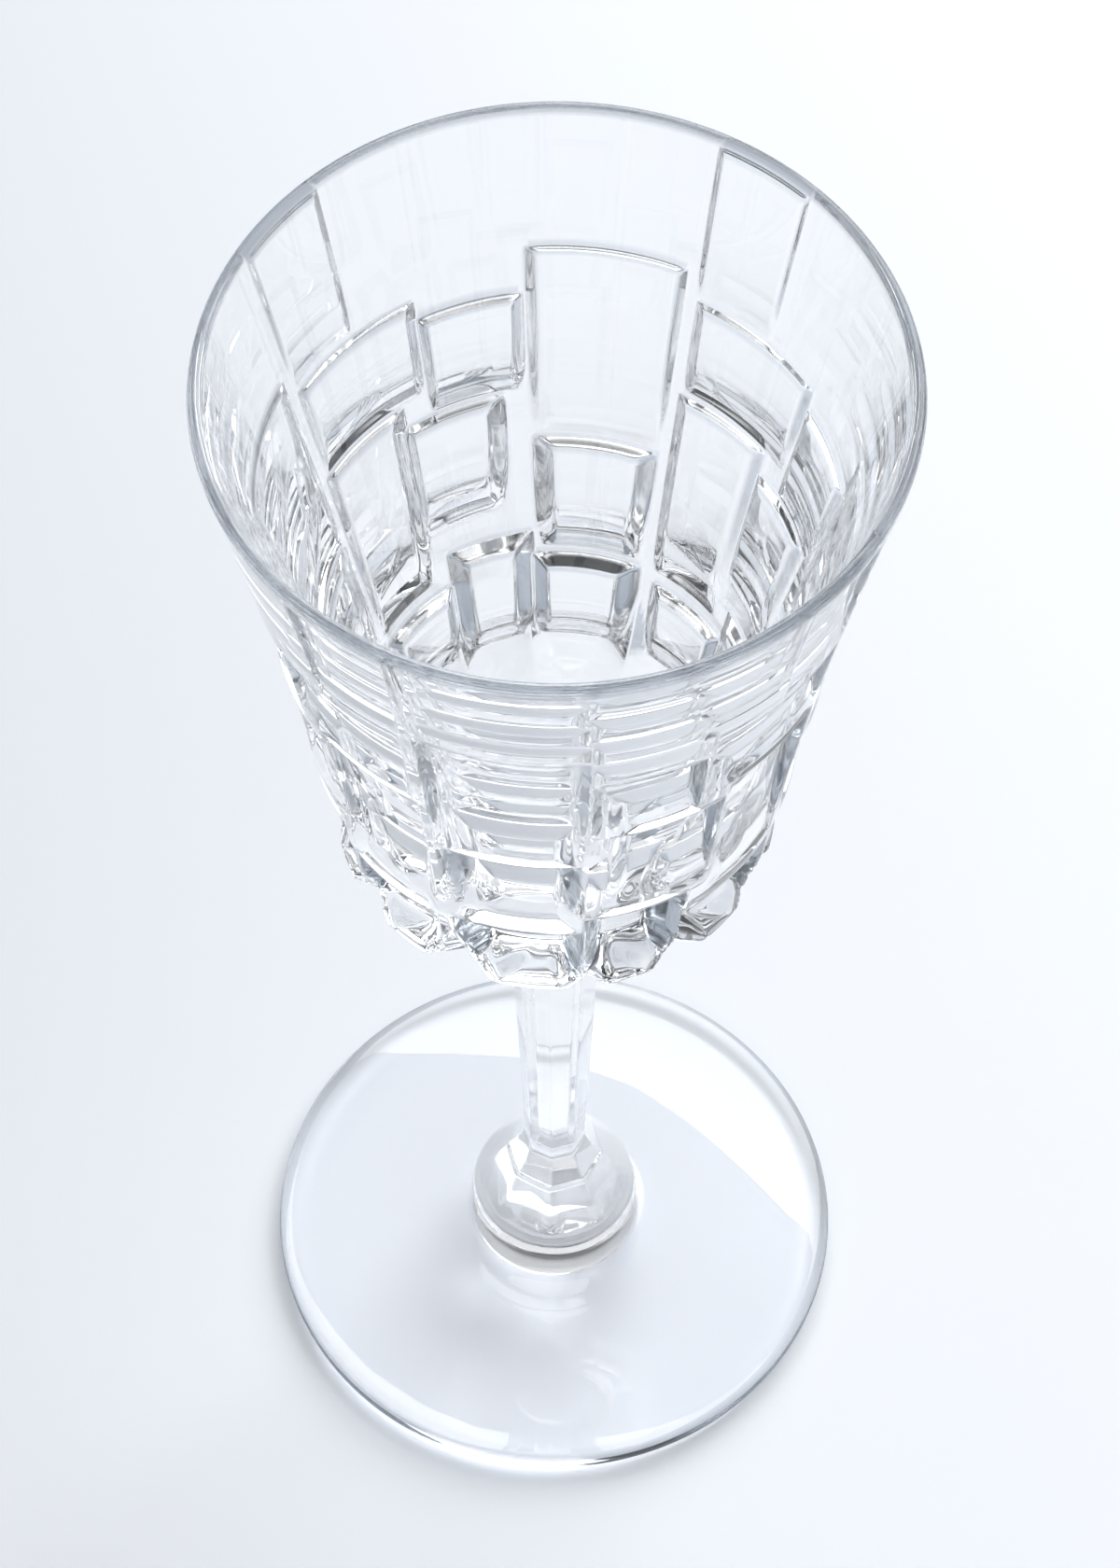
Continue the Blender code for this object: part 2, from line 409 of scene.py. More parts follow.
@dataclass(frozen=True)
class Block:
    """One block of the bowl's relief: a face that starts deep under a ledge and slants out to the wall.

    Attributes:
        left: azimuth of its left side, in degrees.
        right: azimuth of its right side, in degrees.
        top: height of the ledge over it.
        bottom: height where its face has come out to the wall.
        depth: how deep its face lies under the ledge.
        left_lean: how far its left side leans, as run over depth.
        right_lean: the same for its right side.
    """

    left: float
    right: float
    top: float
    bottom: float
    depth: float
    left_lean: float
    right_lean: float

    def lower(self, height: np.ndarray) -> np.ndarray:
        """Share of the depth that is left: one less a power of the way down, so that the face swells out."""
        down = np.clip((self.top - height) / (self.top - self.bottom), 0.0, 1.0)
        return 1.0 - down**FACE_BOW

    def cut(
        self, azimuth: np.ndarray, height: np.ndarray, radius: np.ndarray, shape: "Relief"
    ) -> np.ndarray:
        """How far the wall is set back: the depth times a smooth step at each side and at the ledge.

        Args:
            azimuth: (columns,) degrees.
            height: (rows,) heights.
            radius: (rows,) wall radius.
            shape: how the relief repeats and how round it is.

        Returns:
            (rows, columns) set-backs.
        """
        half = 0.5 * (self.right - self.left)
        offset = shape.offset(azimuth, 0.5 * (self.left + self.right))
        run = shape.rounding * self.depth
        from_left = radius[:, None] * np.radians(half + offset)[None, :] / (run * self.left_lean)
        from_right = radius[:, None] * np.radians(half - offset)[None, :] / (run * self.right_lean)
        under = smooth_step((self.top + shape.ledge - height) / (2.0 * shape.ledge))
        across = self.depth * smooth_step(from_left) * smooth_step(from_right)
        return across * (under * self.lower(height))[:, None]


@dataclass(frozen=True)
class Tile(Block):
    """A block of the lowest row, whose face is upright and turns out in a flat slope at its lower end.

    Attributes:
        turn_out: height of that slope.
    """

    turn_out: float = 6.0 * MM

    def lower(self, height: np.ndarray) -> np.ndarray:
        """Share of the depth that is left: an even fall over the slope."""
        return np.clip((height - self.bottom) / self.turn_out, 0.0, 1.0)


@dataclass(frozen=True)
class Notch:
    """A V-shaped valley between the lowest blocks that opens downwards.

    Attributes:
        azimuth: of its deepest line, in degrees.
        top: height where it starts.
        growth: how fast it deepens downwards.
        lean: how far its sides lean, as run over depth.
    """

    azimuth: float
    top: float
    growth: float
    lean: float = 1.3

    def cut(
        self, azimuth: np.ndarray, height: np.ndarray, radius: np.ndarray, shape: "Relief"
    ) -> np.ndarray:
        """How far the wall is set back: the depth at its line, less the distance from it over the lean.

        Args:
            azimuth: (columns,) degrees.
            height: (rows,) heights.
            radius: (rows,) wall radius.
            shape: how the relief repeats.

        Returns:
            (rows, columns) set-backs.
        """
        away = radius[:, None] * np.radians(np.abs(shape.offset(azimuth, self.azimuth)))[None, :]
        line = self.growth * np.maximum(self.top - height, 0.0)
        return np.maximum(line[:, None] - away / self.lean, 0.0)


# The relief of one quarter of the bowl.
BLOCKS = (
    Block(-62.5, -43.8, 202.0 * MM, 179.5 * MM, 1.0 * MM, 0.7, 0.4),
    Block(-61.8, -29.0, 179.0 * MM, 164.6 * MM, 1.6 * MM, 0.65, 1.0),
    Block(-62.5, -35.2, 164.0 * MM, 133.5 * MM, 2.0 * MM, 0.6, 1.3),
    Tile(-61.5, -31.0, 131.5 * MM, 117.0 * MM, 3.6 * MM, 0.5, 0.5),
    Block(-29.6, -6.4, 176.1 * MM, 161.0 * MM, 2.3 * MM, 0.3, 0.7),
    Block(-37.5, -10.8, 160.6 * MM, 142.0 * MM, 2.4 * MM, 0.35, 1.2),
    Tile(-32.6, -5.6, 137.0 * MM, 117.0 * MM, 4.6 * MM, 0.5, 0.66),
    Block(-7.0, 25.8, 183.0 * MM, 153.6 * MM, 1.5 * MM, 0.95, 0.6),
    Block(-7.0, 26.3, 153.0 * MM, 134.0 * MM, 2.9 * MM, 0.95, 1.0),
    Tile(-8.0, 26.0, 133.2 * MM, 117.0 * MM, 4.4 * MM, 0.5, 0.75),
)
NOTCHES = (
    Notch(-33.5, 126.0 * MM, 0.33),
    Notch(-8.5, 123.0 * MM, 0.33),
    Notch(25.5, 128.0 * MM, 0.33),
)


@dataclass(frozen=True)
class Relief:
    """The blocks all around the bowl.

    Attributes:
        quarters: how often the blocks repeat around.
        ledge: half the height over which a ledge is rounded.
        rounding: width of a block's rounded side over that of a flat one with the same lean.
    """

    quarters: int = 4
    ledge: float = 0.12 * MM
    rounding: float = 1.4

    @property
    def repeat(self) -> float:
        """Degrees after which the relief repeats."""
        return 360.0 / self.quarters

    def offset(self, azimuth: np.ndarray, middle: float) -> np.ndarray:
        """Degrees from the nearest repeat of an azimuth."""
        return (azimuth - middle + 0.5 * self.repeat) % self.repeat - 0.5 * self.repeat

    def set_back(self, azimuth: np.ndarray, height: np.ndarray, radius: np.ndarray) -> np.ndarray:
        """How far the relief lies behind the envelope: the deepest form at each point.

        Args:
            azimuth: (columns,) degrees.
            height: (rows,) heights.
            radius: (rows,) envelope radius.

        Returns:
            (rows, columns) set-backs.
        """
        deepest = np.zeros((len(height), len(azimuth)))
        for form in (*BLOCKS, *NOTCHES):
            deepest = np.maximum(deepest, form.cut(azimuth, height, radius, self))
        return deepest


@dataclass
class Bowl:
    """The conical bowl, smooth inside, with a relief of stepped blocks outside.

    Attributes:
        rim_height: top of the lip.
        rim_radius: outside radius at the lip.
        lip: wall thickness at the lip.
        base_height: where the outside wall turns under.
        base_radius: outside radius there.
        base_flare: how fast the radius grows there.
        base_round: radius of the rounded lower edge.
        joint_height: height of the plane where the stem is fused on.
        joint_radius: radius of that plane.
        inside_slope: how fast the inside radius grows with height.
        floor_height: height of the inside floor.
        floor_round: radius between the floor and the inside cone.
        relief: the blocks outside.
        lip_painted_shade: share of painted shade on the lip: inside, on top and outside.
        side_painted_shade: share of painted shade on the blocks' sides, at the rim.
        low_side_painted_shade: share of painted shade on their sides, at the base.
        ledge_painted_shade: share of painted shade on their ledges.
        side_slope: slope above which a face counts as a side or a ledge.
        dish: how far in and down the underside heads from the rounded lower edge.
        throat: how far out and up of the stem's plane it comes from.
        relief_end: radius under the bowl where the relief has run out; it is full at twice this.
        relief_low: height below which the relief stays the same.
        floor_rows: points along the floor, up to the rounding.
        corner_rows: points round the rounding.
        cone_rows: points up the inside cone.
        lip_rows: points over the lip.
        base_turn: angle at which the rounded lower edge ends, in degrees from outwards.
        base_rows: points round it.
        under_rows: points along the underside.
        columns: points around, in a quarter.
        side_reach: degrees beside a block's side where the columns stand close.
        side_columns: spacing there, in degrees; only its ratio to the next one counts.
        face_columns: spacing elsewhere.
        rows: points down the outside.
        ledge_reach: distance from a ledge where the rows stand close, over its rounding.
        ledge_rows: spacing there.
        face_rows: spacing elsewhere.
    """

    rim_height: float = 204.0 * MM
    rim_radius: float = 41.5 * MM
    lip: float = 1.7 * MM
    base_height: float = 118.0 * MM
    base_radius: float = 28.2 * MM
    base_flare: float = 0.104
    base_round: float = 2.6 * MM
    joint_height: float = 110.0 * MM
    joint_radius: float = 8.2 * MM
    inside_slope: float = 0.267
    floor_height: float = 120.0 * MM
    floor_round: float = 14.0 * MM
    relief: Relief = Relief()
    lip_painted_shade: tuple[float, float, float] = (0.35, 0.75, 0.5)
    side_painted_shade: float = 0.6
    low_side_painted_shade: float = 0.92
    ledge_painted_shade: float = 0.5
    side_slope: float = 0.45
    dish: tuple[float, float] = (8.5 * MM, 3.1 * MM)
    throat: tuple[float, float] = (1.0 * MM, 2.8 * MM)
    relief_end: float = 12.0 * MM
    relief_low: float = 115.2 * MM
    floor_rows: int = 3
    corner_rows: int = 12
    cone_rows: int = 5
    lip_rows: int = 11
    base_turn: float = -70.0
    base_rows: int = 8
    under_rows: int = 14
    columns: int = 150
    side_reach: float = 0.6
    side_columns: float = 0.36
    face_columns: float = 0.8
    rows: int = 108
    ledge_reach: float = 1.3
    ledge_rows: float = 0.07 * MM
    face_rows: float = 1.5 * MM

    def lip_centre(self) -> tuple[float, float]:
        """Radius and height of the centre of the rounded lip."""
        return self.rim_radius - 0.5 * self.lip, self.rim_height - 0.5 * self.lip

    def outside_lean(self) -> float:
        """Slope of the outside wall at the lip: twice the mean slope less the slope at the base."""
        rise = self.lip_centre()[1] - self.base_height
        return 2.0 * (self.rim_radius - self.base_radius) / rise - self.base_flare

    def outside_radius(self, height: np.ndarray) -> np.ndarray:
        """The envelope: base radius, plus the flare, plus a square term that reaches the lip.

        Args:
            height: heights on the wall.

        Returns:
            The radius at each.
        """
        above = height - self.base_height
        lean = math.atan(self.outside_lean())
        centre = self.lip_centre()
        reach = centre[0] + 0.5 * self.lip * math.cos(lean)
        rise = centre[1] - 0.5 * self.lip * math.sin(lean) - self.base_height
        square = (reach - self.base_radius - self.base_flare * rise) / rise**2
        return self.base_radius + self.base_flare * above + square * above**2

    def azimuths(self) -> np.ndarray:
        """Columns, closer together at the blocks' sides, in falling order, which is counter-clockwise.

        Returns:
            (columns,) azimuths in degrees, all around.
        """

        def spacing(azimuth: np.ndarray) -> np.ndarray:
            """Wanted spacing at each azimuth."""
            sides = [side for block in BLOCKS for side in (block.left, block.right)]
            away = np.stack([np.abs(self.relief.offset(azimuth, side)) for side in sides])
            close = np.min(away, axis=0) < self.side_reach
            return np.where(close, self.side_columns, self.face_columns)

        half = 0.5 * self.relief.repeat
        quarter = crowd(-half, half, spacing, self.columns + 1)[:-1]
        turns = np.arange(self.relief.quarters) * self.relief.repeat
        return (turns[:, None] + quarter[None, :]).ravel()[::-1]

    def outside_heights(self, top: float) -> np.ndarray:
        """Rows of the outside wall from the lip down, closer together at each ledge.

        Args:
            top: height of the first row.

        Returns:
            The rows' heights, falling.
        """

        def spacing(height: np.ndarray) -> np.ndarray:
            """Wanted spacing at each height."""
            levels = np.array([block.top for block in BLOCKS])
            away = np.min(np.abs(height[:, None] - levels[None, :]), axis=1)
            return np.where(away < self.ledge_reach * self.relief.ledge, self.ledge_rows, self.face_rows)

        return crowd(self.base_height, top, spacing, self.rows)[::-1]

    def inside(self) -> np.ndarray:
        """Inside profile from near the axis: floor, rounding, cone up to the lip's rounding.

        Returns:
            (points, 2) radius and height.
        """
        lean = math.atan(self.inside_slope)
        centre = self.lip_centre()
        half = 0.5 * self.lip
        top = (centre[0] - half * math.cos(lean), centre[1] + half * math.sin(lean))
        round_height = self.floor_height + self.floor_round
        wall_there = top[0] - self.inside_slope * (top[1] - round_height)
        round_radius = wall_there - self.floor_round / math.cos(lean)
        floor_start = (0.25 * round_radius, self.floor_height)
        floor = straight(floor_start, (round_radius, self.floor_height), self.floor_rows)[:-1]
        corner_centre = (round_radius, round_height)
        corner = arc(corner_centre, self.floor_round, -90.0, -math.degrees(lean), self.corner_rows)
        short = 0.3 * self.lip
        near_lip = (top[0] - self.inside_slope * short, top[1] - short)
        cone = straight(tuple(corner[-1]), near_lip, self.cone_rows)[1:]
        return np.concatenate((floor, corner, cone))

    def relief_painted_shade(self, depth: np.ndarray, wall: np.ndarray, azimuth: np.ndarray) -> np.ndarray:
        """Share of painted shade on the wall, on the blocks' sides and ledges: a smooth step of the
        set-back's slope, across and along.

        Args:
            depth: (rows, columns) set-backs.
            wall: (rows, 2) radius and height of the rows.
            azimuth: (columns,) degrees.

        Returns:
            (rows, columns) shares.
        """
        step = np.radians((np.roll(azimuth, 1) - np.roll(azimuth, -1)) % 360.0)
        across = (np.roll(depth, 1, axis=1) - np.roll(depth, -1, axis=1)) / (wall[:, :1] * step[None, :])
        along = np.gradient(depth, wall[:, 1], axis=0)
        down = (self.rim_height - wall[:, 1]) / (self.rim_height - self.base_height)
        side = self.side_painted_shade + (self.low_side_painted_shade - self.side_painted_shade) * down[:, None]
        relief_painted_shade = side * smooth_step(np.abs(across) / self.side_slope - 1.0)
        return np.maximum(relief_painted_shade, self.ledge_painted_shade * smooth_step(np.abs(along) / self.side_slope - 1.0))

    def build(self) -> RingBody:
        """The bowl's rings: inside from the floor up, over the lip, down the outside and under to the stem.

        The relief is taken off the envelope's radius, and fades out under the bowl.

        Returns:
            The bowl's body, fused at the stem.
        """
        azimuth = self.azimuths()
        inside = self.inside()
        lean_in = math.degrees(math.atan(self.inside_slope))
        lean_out = math.degrees(math.atan(self.outside_lean()))
        lip = arc(self.lip_centre(), 0.5 * self.lip, 180.0 - lean_in, -lean_out, self.lip_rows)
        heights = self.outside_heights(float(lip[-1, 1]))[1:-1]
        wall = np.stack((self.outside_radius(heights), heights), axis=1)
        edge_centre = (self.base_radius - self.base_round, self.base_height)
        edge = arc(edge_centre, self.base_round, 0.0, self.base_turn, self.base_rows)
        start = tuple(edge[-1])
        leave = (start[0] - self.dish[0], start[1] - self.dish[1])
        arrive = (self.joint_radius + self.throat[0], self.joint_height + self.throat[1])
        end = (self.joint_radius, self.joint_height)
        under = bend((start, leave, arrive, end), self.under_rows)[1:]
        profile = np.concatenate((inside, lip, wall, edge, under))
        share = np.zeros(len(profile))
        first = len(inside) + len(lip)
        share[first:] = smooth_step((profile[first:, 0] - self.relief_end) / self.relief_end)
        relief_height = np.maximum(profile[:, 1], self.relief_low)
        depth = self.relief.set_back(azimuth, relief_height, np.maximum(profile[:, 0], self.joint_radius))
        radius = profile[:, 0][:, None] - share[:, None] * depth
        height = np.repeat(profile[:, 1][:, None], len(azimuth), axis=1)
        rings = turn(radius, height, np.radians(90.0 - azimuth))
        # Painted shade: a dark tint over the lip and on the blocks' sides and ledges.
        dim = np.zeros(radius.shape)
        turned = np.linspace(0.0, 1.0, len(lip))
        dim[len(inside) : first] = np.interp(turned, (0.0, 0.5, 1.0), self.lip_painted_shade)[:, None]
        below = lip[-1, 1] - profile[first:, 1]
        dim[first:] = self.lip_painted_shade[2] * (1.0 - smooth_step(below / (0.5 * self.lip))[:, None])
        rows = slice(first, first + len(wall))
        dim[rows] = np.maximum(dim[rows], self.relief_painted_shade(depth[rows], wall, azimuth))
        return RingBody(rings, self.floor_height, self.joint_height, dim, last_fused=True)


@dataclass
class Stem:
    """The eight-sided stem: round where it leaves the bowl, tapering, then flared onto the knop.

    Attributes:
        sides: how many facets.
        turned: azimuth of a corner, in degrees from towards the camera.
        softness: how round the corners are.
        top_radius: radius where it is fused to the bowl.
        top_height: height of that plane.
        shoulder_height: where the flare under the bowl has run out.
        shoulder_radius: corner radius there.
        flare_leave: how far in and down the flare heads from the bowl.
        flare_arrive: how far above its end it has the shaft's taper.
        waist_height: where the lower flare starts.
        waist_radius: corner radius there.
        foot_radius: corner radius where it meets the knop.
        columns: points around.
        flare_rows: points down the flare under the bowl.
        shaft_rows: points down the shaft.
        lower_rows: points down the lower flare.
    """

    sides: int = 8
    turned: float = -5.5
    softness: float = 1.0 / 70.0
    top_radius: float = 8.2 * MM
    top_height: float = 110.0 * MM
    shoulder_height: float = 98.0 * MM
    shoulder_radius: float = 6.57 * MM
    flare_leave: tuple[float, float] = (1.2 * MM, 3.4 * MM)
    flare_arrive: float = 5.0 * MM
    waist_height: float = 27.7 * MM
    waist_radius: float = 4.25 * MM
    foot_radius: float = 6.9 * MM
    columns: int = 192
    flare_rows: int = 14
    shaft_rows: int = 24
    lower_rows: int = 8

    def angles(self) -> np.ndarray:
        """Angles of the columns from +X, counter-clockwise."""
        return np.linspace(0.0, 2.0 * np.pi, self.columns, endpoint=False)

    def outline(self) -> np.ndarray:
        """The faceted outline, about 1 at the corners."""
        return facet_radius(self.angles(), self.sides, math.radians(self.turned - 90.0), self.softness)

    def build(self, knop: "Knop") -> RingBody:
        """The stem's rings from the bowl down to the knop's surface.

        The radius is the profile times the outline, which turns round towards the bowl by a smooth step.

        Args:
            knop: the knop that the stem stands on.

        Returns:
            The stem's body, fused at both ends.
        """
        outline = self.outline()
        top = (self.top_radius, self.top_height - SEAM)
        shoulder = (self.shoulder_radius, self.shoulder_height)
        taper = (self.shoulder_radius - self.waist_radius) / (self.shoulder_height - self.waist_height)
        leave = (top[0] - self.flare_leave[0], top[1] - self.flare_leave[1])
        arrive = (shoulder[0] + self.flare_arrive * taper, shoulder[1] + self.flare_arrive)
        flare = bend((top, leave, arrive, shoulder), self.flare_rows)
        shaft = straight(shoulder, (self.waist_radius, self.waist_height), self.shaft_rows)
        profile = np.concatenate((flare[:-1], shaft))
        above = profile[:, 1][:, None] - shoulder[1]
        round_share = smooth_step(above / (top[1] - shoulder[1]))
        upper_radius = profile[:, 0][:, None] * (round_share + (1.0 - round_share) * outline[None, :])
        upper_height = np.repeat(profile[:, 1][:, None], self.columns, axis=1)
        share = np.linspace(0.0, 1.0, self.lower_rows)[1:, None]
        end = knop.top_height + SEAM
        lower_radius = (self.waist_radius * (1.0 - share) + self.foot_radius * share) * outline[None, :]
        lower_height = np.repeat(self.waist_height * (1.0 - share) + end * share, self.columns, axis=1)
        radius = np.concatenate((upper_radius, lower_radius))
        height = np.concatenate((upper_height, lower_height))
        rings = turn(radius, height, self.angles())
        return RingBody(rings, top[1], end, np.zeros((len(rings), 1)), first_fused=True, last_fused=True)


@dataclass
class Knop:
    """The bell-shaped knop: a skirt that turns from eight sides to round, and a side that bends upright.

    Attributes:
        top_height: height of the plane where the stem is fused on.
        line_height: height of the line where the skirt meets the side.
        line_radius: radius there.
        bottom: height of the plane where it is fused to the foot.
        bottom_radius: radius there.
        shoulder: power of the side's curve; a high one bends it close under the line.
        skirt_rows: rings down the skirt.
        side_rows: rings down the side.
    """

    top_height: float = 22.6 * MM
    line_height: float = 14.6 * MM
    line_radius: float = 10.8 * MM
    bottom: float = 6.0 * MM
    bottom_radius: float = 11.9 * MM
    shoulder: float = 7.0
    skirt_rows: int = 16
    side_rows: int = 40

    def side_radius(self, height: np.ndarray) -> np.ndarray:
        """Radius of the side: the bottom radius less the rest times a high power of the way up.

        Args:
            height: heights between the bottom and the line.

        Returns:
            The radius at each.
        """
        way = (height - self.bottom) / (self.line_height - self.bottom)
        return self.bottom_radius - (self.bottom_radius - self.line_radius) * way**self.shoulder

    def build(self, stem: Stem) -> RingBody:
        """The knop's rings, from the stem's outline down the skirt and the side to the foot.

        The skirt runs straight from the eight-sided outline to the circle of the line.

        Args:
            stem: the stem that stands on the knop.

        Returns:
            The knop's body, fused at both ends.
        """
        share = np.linspace(0.0, 1.0, self.skirt_rows)[:, None]
        skirt = stem.foot_radius * stem.outline()[None, :] * (1.0 - share) + self.line_radius * share
        skirt_height = self.top_height * (1.0 - share) + self.line_height * share
        side_height = np.linspace(self.line_height, self.bottom, self.side_rows)[1:, None]
        side = np.repeat(self.side_radius(side_height), stem.columns, axis=1)
        radius = np.concatenate((skirt, side))
        height = np.repeat(np.concatenate((skirt_height, side_height)), stem.columns, axis=1)
        rings = turn(radius, height, stem.angles())
        dim = np.zeros((len(rings), 1))
        return RingBody(rings, self.top_height, self.bottom, dim, first_fused=True, last_fused=True)


@dataclass
class Foot:
    """The round foot: a fillet around the knop, a gently falling top, a rounded edge and a flat underside.

    Attributes:
        radius: of the foot.
        edge: radius of its rounded edge, half the edge's thickness.
        edge_lean: how steeply the top falls at the edge, in degrees.
        edge_painted_shade: share of painted shade at the rounded edge's outermost line.
        edge_painted_shade_angle: angle on the rounded edge over which the painted shade fades, in degrees.
        edge_rows: rings round the edge.
        neck_radius: radius where the fillet around the knop meets the top.
        neck_height: height there.
        neck_curl: how far down the fillet heads along the knop.
        neck_ease: how far in and up of its end it comes from.
        under_radius: radius of the last ring underneath.
        columns: points around.
        neck_rows: points along the fillet.
        top_rows: points along the top.
        under_rows: points along the underside.
    """

    radius: float = 40.3 * MM
    edge: float = 2.0 * MM
    edge_lean: float = 7.0
    edge_painted_shade: float = 0.95
    edge_painted_shade_angle: float = 45.0
    edge_rows: int = 26
    neck_radius: float = 14.5 * MM
    neck_height: float = 5.3 * MM
    neck_curl: float = 0.5 * MM
    neck_ease: tuple[float, float] = (1.9 * MM, 0.02 * MM)
    under_radius: float = 6.0 * MM
    columns: int = 256
    neck_rows: int = 14
    top_rows: int = 24
    under_rows: int = 6

    def build(self, knop: Knop) -> RingBody:
        """The foot's rings, from the knop outwards, round the edge and back underneath.

        The painted shade follows a bell curve of the angle on the rounded edge.

        Args:
            knop: the knop that stands on the foot.

        Returns:
            The foot's body, fused at its upper end.
        """
        start = (knop.bottom_radius, knop.bottom - SEAM)
        end = (self.neck_radius, self.neck_height)
        curl = (start[0], start[1] - self.neck_curl)
        ease = (end[0] - self.neck_ease[0], end[1] + self.neck_ease[1])
        neck = bend((start, curl, ease, end), self.neck_rows)
        upper = 90.0 - self.edge_lean
        edge = arc((self.radius - self.edge, self.edge), self.edge, upper, -90.0, self.edge_rows)
        reach = (edge[0, 0] - end[0]) / 3.0
        rise = reach * math.tan(math.radians(self.edge_lean))
        fall_start = (end[0] + reach, end[1])
        fall_end = (edge[0, 0] - reach, edge[0, 1] + rise)
        top = bend((end, fall_start, fall_end, tuple(edge[0])), self.top_rows)
        under = straight(tuple(edge[-1]), (self.under_radius, 0.0), self.under_rows)
        profile = np.concatenate((neck[:-1], top[:-1], edge, under[1:]))
        angle = np.linspace(0.0, 2.0 * np.pi, self.columns, endpoint=False)
        radius = np.repeat(profile[:, 0][:, None], self.columns, axis=1)
        height = np.repeat(profile[:, 1][:, None], self.columns, axis=1)
        # Painted shade along the foot's rounded edge.
        dim = np.zeros(len(profile))
        first = len(neck) + len(top) - 2
        away = np.linspace(upper, -90.0, self.edge_rows) / self.edge_painted_shade_angle
        dim[first : first + self.edge_rows] = self.edge_painted_shade * np.exp(-(away**2))
        return RingBody(turn(radius, height, angle), start[1], 0.0, dim[:, None], first_fused=True)


@dataclass
class WineGlass:
    """The whole glass: its four fused pieces and their finishes.

    Attributes:
        bowl: the bowl.
        stem: the stem.
        knop: the knop.
        foot: the foot.
        glass: finish of the bowl, the stem and the knop.
        shaded_foot_glass: finish of the foot, darker with painted shadow.
        joint: finish of the planes where they are fused.
    """

    bowl: Bowl
    stem: Stem
    knop: Knop
    foot: Foot
    glass: ClearGlass
    shaded_foot_glass: ClearGlass
    joint: FusedJoint

    def dress(self, piece: bpy.types.Object, node: str) -> None:
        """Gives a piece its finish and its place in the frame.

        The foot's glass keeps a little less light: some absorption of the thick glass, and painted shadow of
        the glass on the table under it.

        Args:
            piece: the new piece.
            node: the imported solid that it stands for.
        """
        slot = node + "_glass"
        glass = self.shaded_foot_glass if node == "foot" else self.glass
        piece.data.materials.append(glass.material(slot))
        piece.data.materials.append(self.joint.material())
        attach(piece, BODY)
        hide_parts(node)

    def build(self) -> None:
        """Builds each piece, dresses it and reports it."""
        bodies = {
            "bowl": self.bowl.build(),
            "stem": self.stem.build(self.knop),
            "knop": self.knop.build(self.stem),
            "foot": self.foot.build(self.knop),
        }
        for node, body in bodies.items():
            piece = body.to_object("crystal_" + node)
            self.dress(piece, node)
            size = [round(side / MM, 1) for side in piece.dimensions]
            LOG.info("%s: %d faces, %s mm", piece.name, len(piece.data.polygons), size)


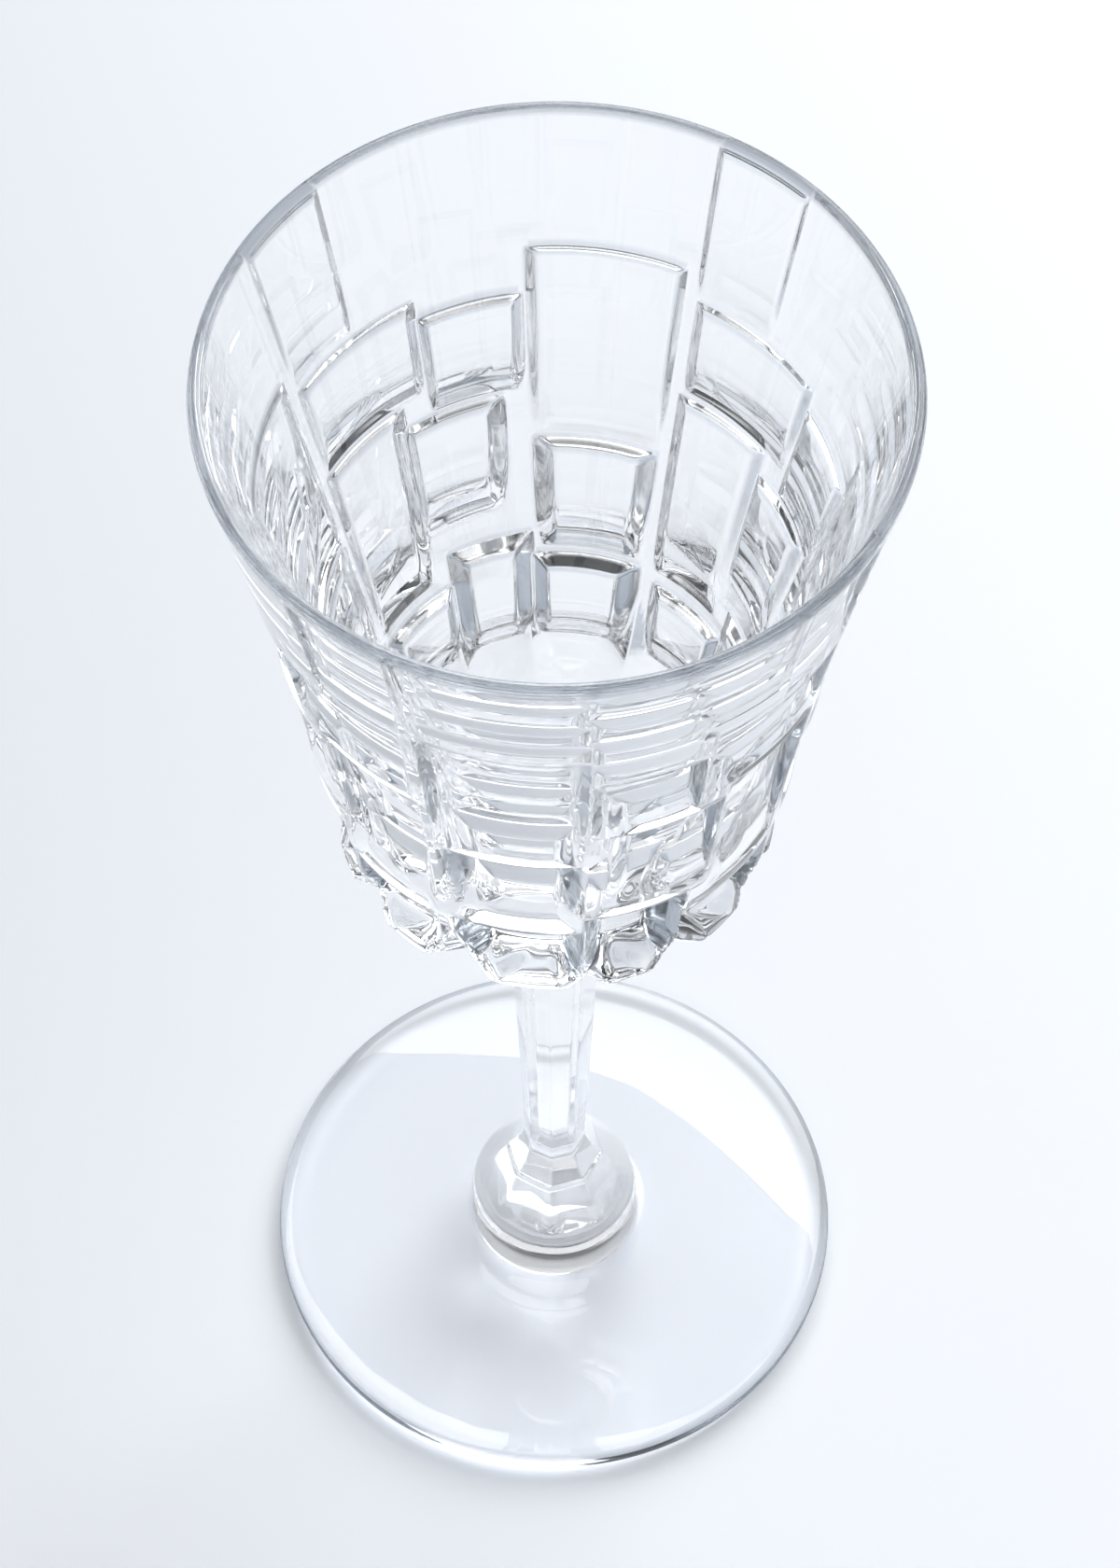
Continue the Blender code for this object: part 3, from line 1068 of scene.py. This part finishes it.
@dataclass
class Studio:
    """A pale table in a dim room, lit by one large softbox behind the glass.

    Attributes:
        table_side: side of the square table.
        table_drop: how far the table lies below the foot.
        lamp_place: the lamp's centre.
        lamp_aim: the point it faces.
        lamp_size: width and height of the lamp.
        lamp_roll: its turn about the line to the point it faces, in degrees.
        lamp_power: its power in watts.
        lamp_colour: its colour.
        room_back: sine of the elevation and grey level of the room behind the glass, from the horizon up.
        room_front: the same behind the camera, with a pale board over it.
        room_turn: sines of the direction to the back between which the front turns into the back.
        room_tint: colour of the room's light.
        bounces: how often light may be bent or reflected inside the glass.
    """

    table_side: float = 8.0
    table_drop: float = 0.3 * MM
    lamp_place: tuple[float, float, float] = (0.276, 0.684, 0.598)
    lamp_aim: tuple[float, float, float] = (0.0, 0.0, 0.0)
    lamp_size: tuple[float, float] = (0.96, 0.69)
    lamp_roll: float = -7.0
    lamp_power: float = 8.2
    lamp_colour: tuple[float, float, float] = (0.98, 0.99, 1.0)
    room_back: tuple[tuple[float, float], ...] = (
        (0.0, 0.35),
        (0.1, 0.12),
        (0.3, 0.05),
        (0.74, 0.05),
        (0.78, 0.86),
        (0.88, 0.86),
        (0.92, 0.04),
    )
    room_front: tuple[tuple[float, float], ...] = (
        (0.0, 0.12),
        (0.1, 0.04),
        (0.6, 0.04),
        (0.68, 0.85),
        (0.88, 0.85),
        (0.94, 0.04),
    )
    room_turn: tuple[float, float] = (-0.3, 0.0)
    room_tint: tuple[float, float, float] = (0.95, 0.97, 1.0)
    bounces: int = 40

    def table(self) -> bpy.types.Object:
        """A flat square below the foot.

        Returns:
            The table, marked as part of the stage.
        """
        half = 0.5 * self.table_side
        corners = np.array([(-half, -half), (half, -half), (half, half), (-half, half)])
        points = np.column_stack((corners, np.full(4, -self.table_drop)))
        mesh = bpy.data.meshes.new("table")
        mesh.from_pydata(points.tolist(), [], [(0, 1, 2, 3)])
        mesh.materials.append(PaleTable().material())
        table = bpy.data.objects.new("table", mesh)
        bpy.context.scene.collection.objects.link(table)
        return table

    def lamp(self) -> bpy.types.Object:
        """The large soft lamp.

        Returns:
            The lamp's object, turned to the point that it faces.
        """
        light = bpy.data.lights.new("softbox", "AREA")
        light.shape = "RECTANGLE"
        light.size, light.size_y = self.lamp_size
        light.energy = self.lamp_power
        light.color = self.lamp_colour
        lamp = bpy.data.objects.new("softbox", light)
        lamp.location = self.lamp_place
        aim = Vector(self.lamp_aim) - Vector(self.lamp_place)
        roll = Quaternion((0.0, 0.0, 1.0), math.radians(self.lamp_roll))
        lamp.rotation_euler = (aim.to_track_quat("-Z", "Y") @ roll).to_euler()
        bpy.context.scene.collection.objects.link(lamp)
        return lamp

    def levels(self, tree: bpy.types.NodeTree, steps: tuple[tuple[float, float], ...]) -> bpy.types.Node:
        """A ramp from the sine of the elevation to the room's light.

        Args:
            tree: the world's nodes.
            steps: sine of the elevation and grey level.

        Returns:
            The ramp's node.
        """
        ramp = tree.nodes.new("ShaderNodeValToRGB")
        elements = ramp.color_ramp.elements
        while len(elements) < len(steps):
            elements.new(1.0)
        for element, (sine, level) in zip(elements, steps):
            element.position = sine
            element.color = (*(level * part for part in self.room_tint), 1.0)
        return ramp

    def world(self) -> bpy.types.World:
        """The room: a grey level for each elevation, at the back and at the front.

        Returns:
            The scene's new world.
        """
        world = bpy.data.worlds.new("soft_room")
        world.use_nodes = True
        tree = world.node_tree
        direction = tree.nodes.new("ShaderNodeTexCoord")
        parts = tree.nodes.new("ShaderNodeSeparateXYZ")
        back = self.levels(tree, self.room_back)
        front = self.levels(tree, self.room_front)
        facing = tree.nodes.new("ShaderNodeMapRange")
        facing.interpolation_type = "SMOOTHSTEP"
        facing.inputs["From Min"].default_value = self.room_turn[0]
        facing.inputs["From Max"].default_value = self.room_turn[1]
        room = tree.nodes.new("ShaderNodeMix")
        room.data_type = "RGBA"
        tree.links.new(direction.outputs["Generated"], parts.inputs["Vector"])
        tree.links.new(parts.outputs["Z"], back.inputs["Fac"])
        tree.links.new(parts.outputs["Z"], front.inputs["Fac"])
        tree.links.new(parts.outputs["Y"], facing.inputs["Value"])
        tree.links.new(facing.outputs["Result"], room.inputs["Factor"])
        tree.links.new(front.outputs["Color"], room.inputs["A"])
        tree.links.new(back.outputs["Color"], room.inputs["B"])
        tree.links.new(room.outputs["Result"], tree.nodes["Background"].inputs["Color"])
        bpy.context.scene.world = world
        return world

    def build(self) -> None:
        """Sets up the table, the lamp, the room and how light is followed through the glass."""
        self.table()
        self.lamp()
        self.world()
        scene = bpy.context.scene
        scene.view_settings.view_transform = "Standard"
        scene.cycles.blur_glossy = 0.0
        scene.cycles.max_bounces = self.bounces
        scene.cycles.transmission_bounces = self.bounces
        scene.cycles.glossy_bounces = self.bounces
        scene.cycles.transparent_max_bounces = self.bounces


@dataclass
class PhotoCamera:
    """The camera at the photograph's place and angle.

    Attributes:
        place: its position.
        down: how far it looks down, in degrees.
        roll: its turn about its own axis, in degrees.
        lens: focal length, in millimetres, for the sensor below.
        sensor: the sensor's long side, in millimetres.
        clip: nearest and farthest distance that is seen.
    """

    place: tuple[float, float, float] = (0.549 * MM, -328.21 * MM, 638.9 * MM)
    down: float = 57.675
    roll: float = 0.28
    lens: float = 111.429
    sensor: float = 36.0
    clip: tuple[float, float] = (10.0 * MM, 50.0)

    def build(self) -> bpy.types.Object:
        """Makes it the scene's camera.

        Returns:
            The camera's object.
        """
        data = bpy.data.cameras.new("photo_camera")
        data.lens = self.lens
        data.sensor_width = self.sensor
        data.clip_start, data.clip_end = self.clip
        camera = bpy.data.objects.new("photo_camera", data)
        tilt = Matrix.Rotation(math.radians(90.0 - self.down), 4, "X")
        roll = Matrix.Rotation(math.radians(self.roll), 4, "Z")
        camera.matrix_world = Matrix.Translation(self.place) @ tilt @ roll
        bpy.context.scene.collection.objects.link(camera)
        bpy.context.scene.camera = camera
        return camera


def main() -> None:
    """Builds the camera, the studio and the glass, and reports them."""
    logging.basicConfig(level=logging.INFO, format="%(name)s: %(message)s")
    PhotoCamera().build()
    Studio().build()
    shaded_foot_glass = ClearGlass(tint=FOOT_SHADOW_TINT)
    WineGlass(Bowl(), Stem(), Knop(), Foot(), ClearGlass(), shaded_foot_glass, FusedJoint()).build()


if __name__ == "__main__":
    main()
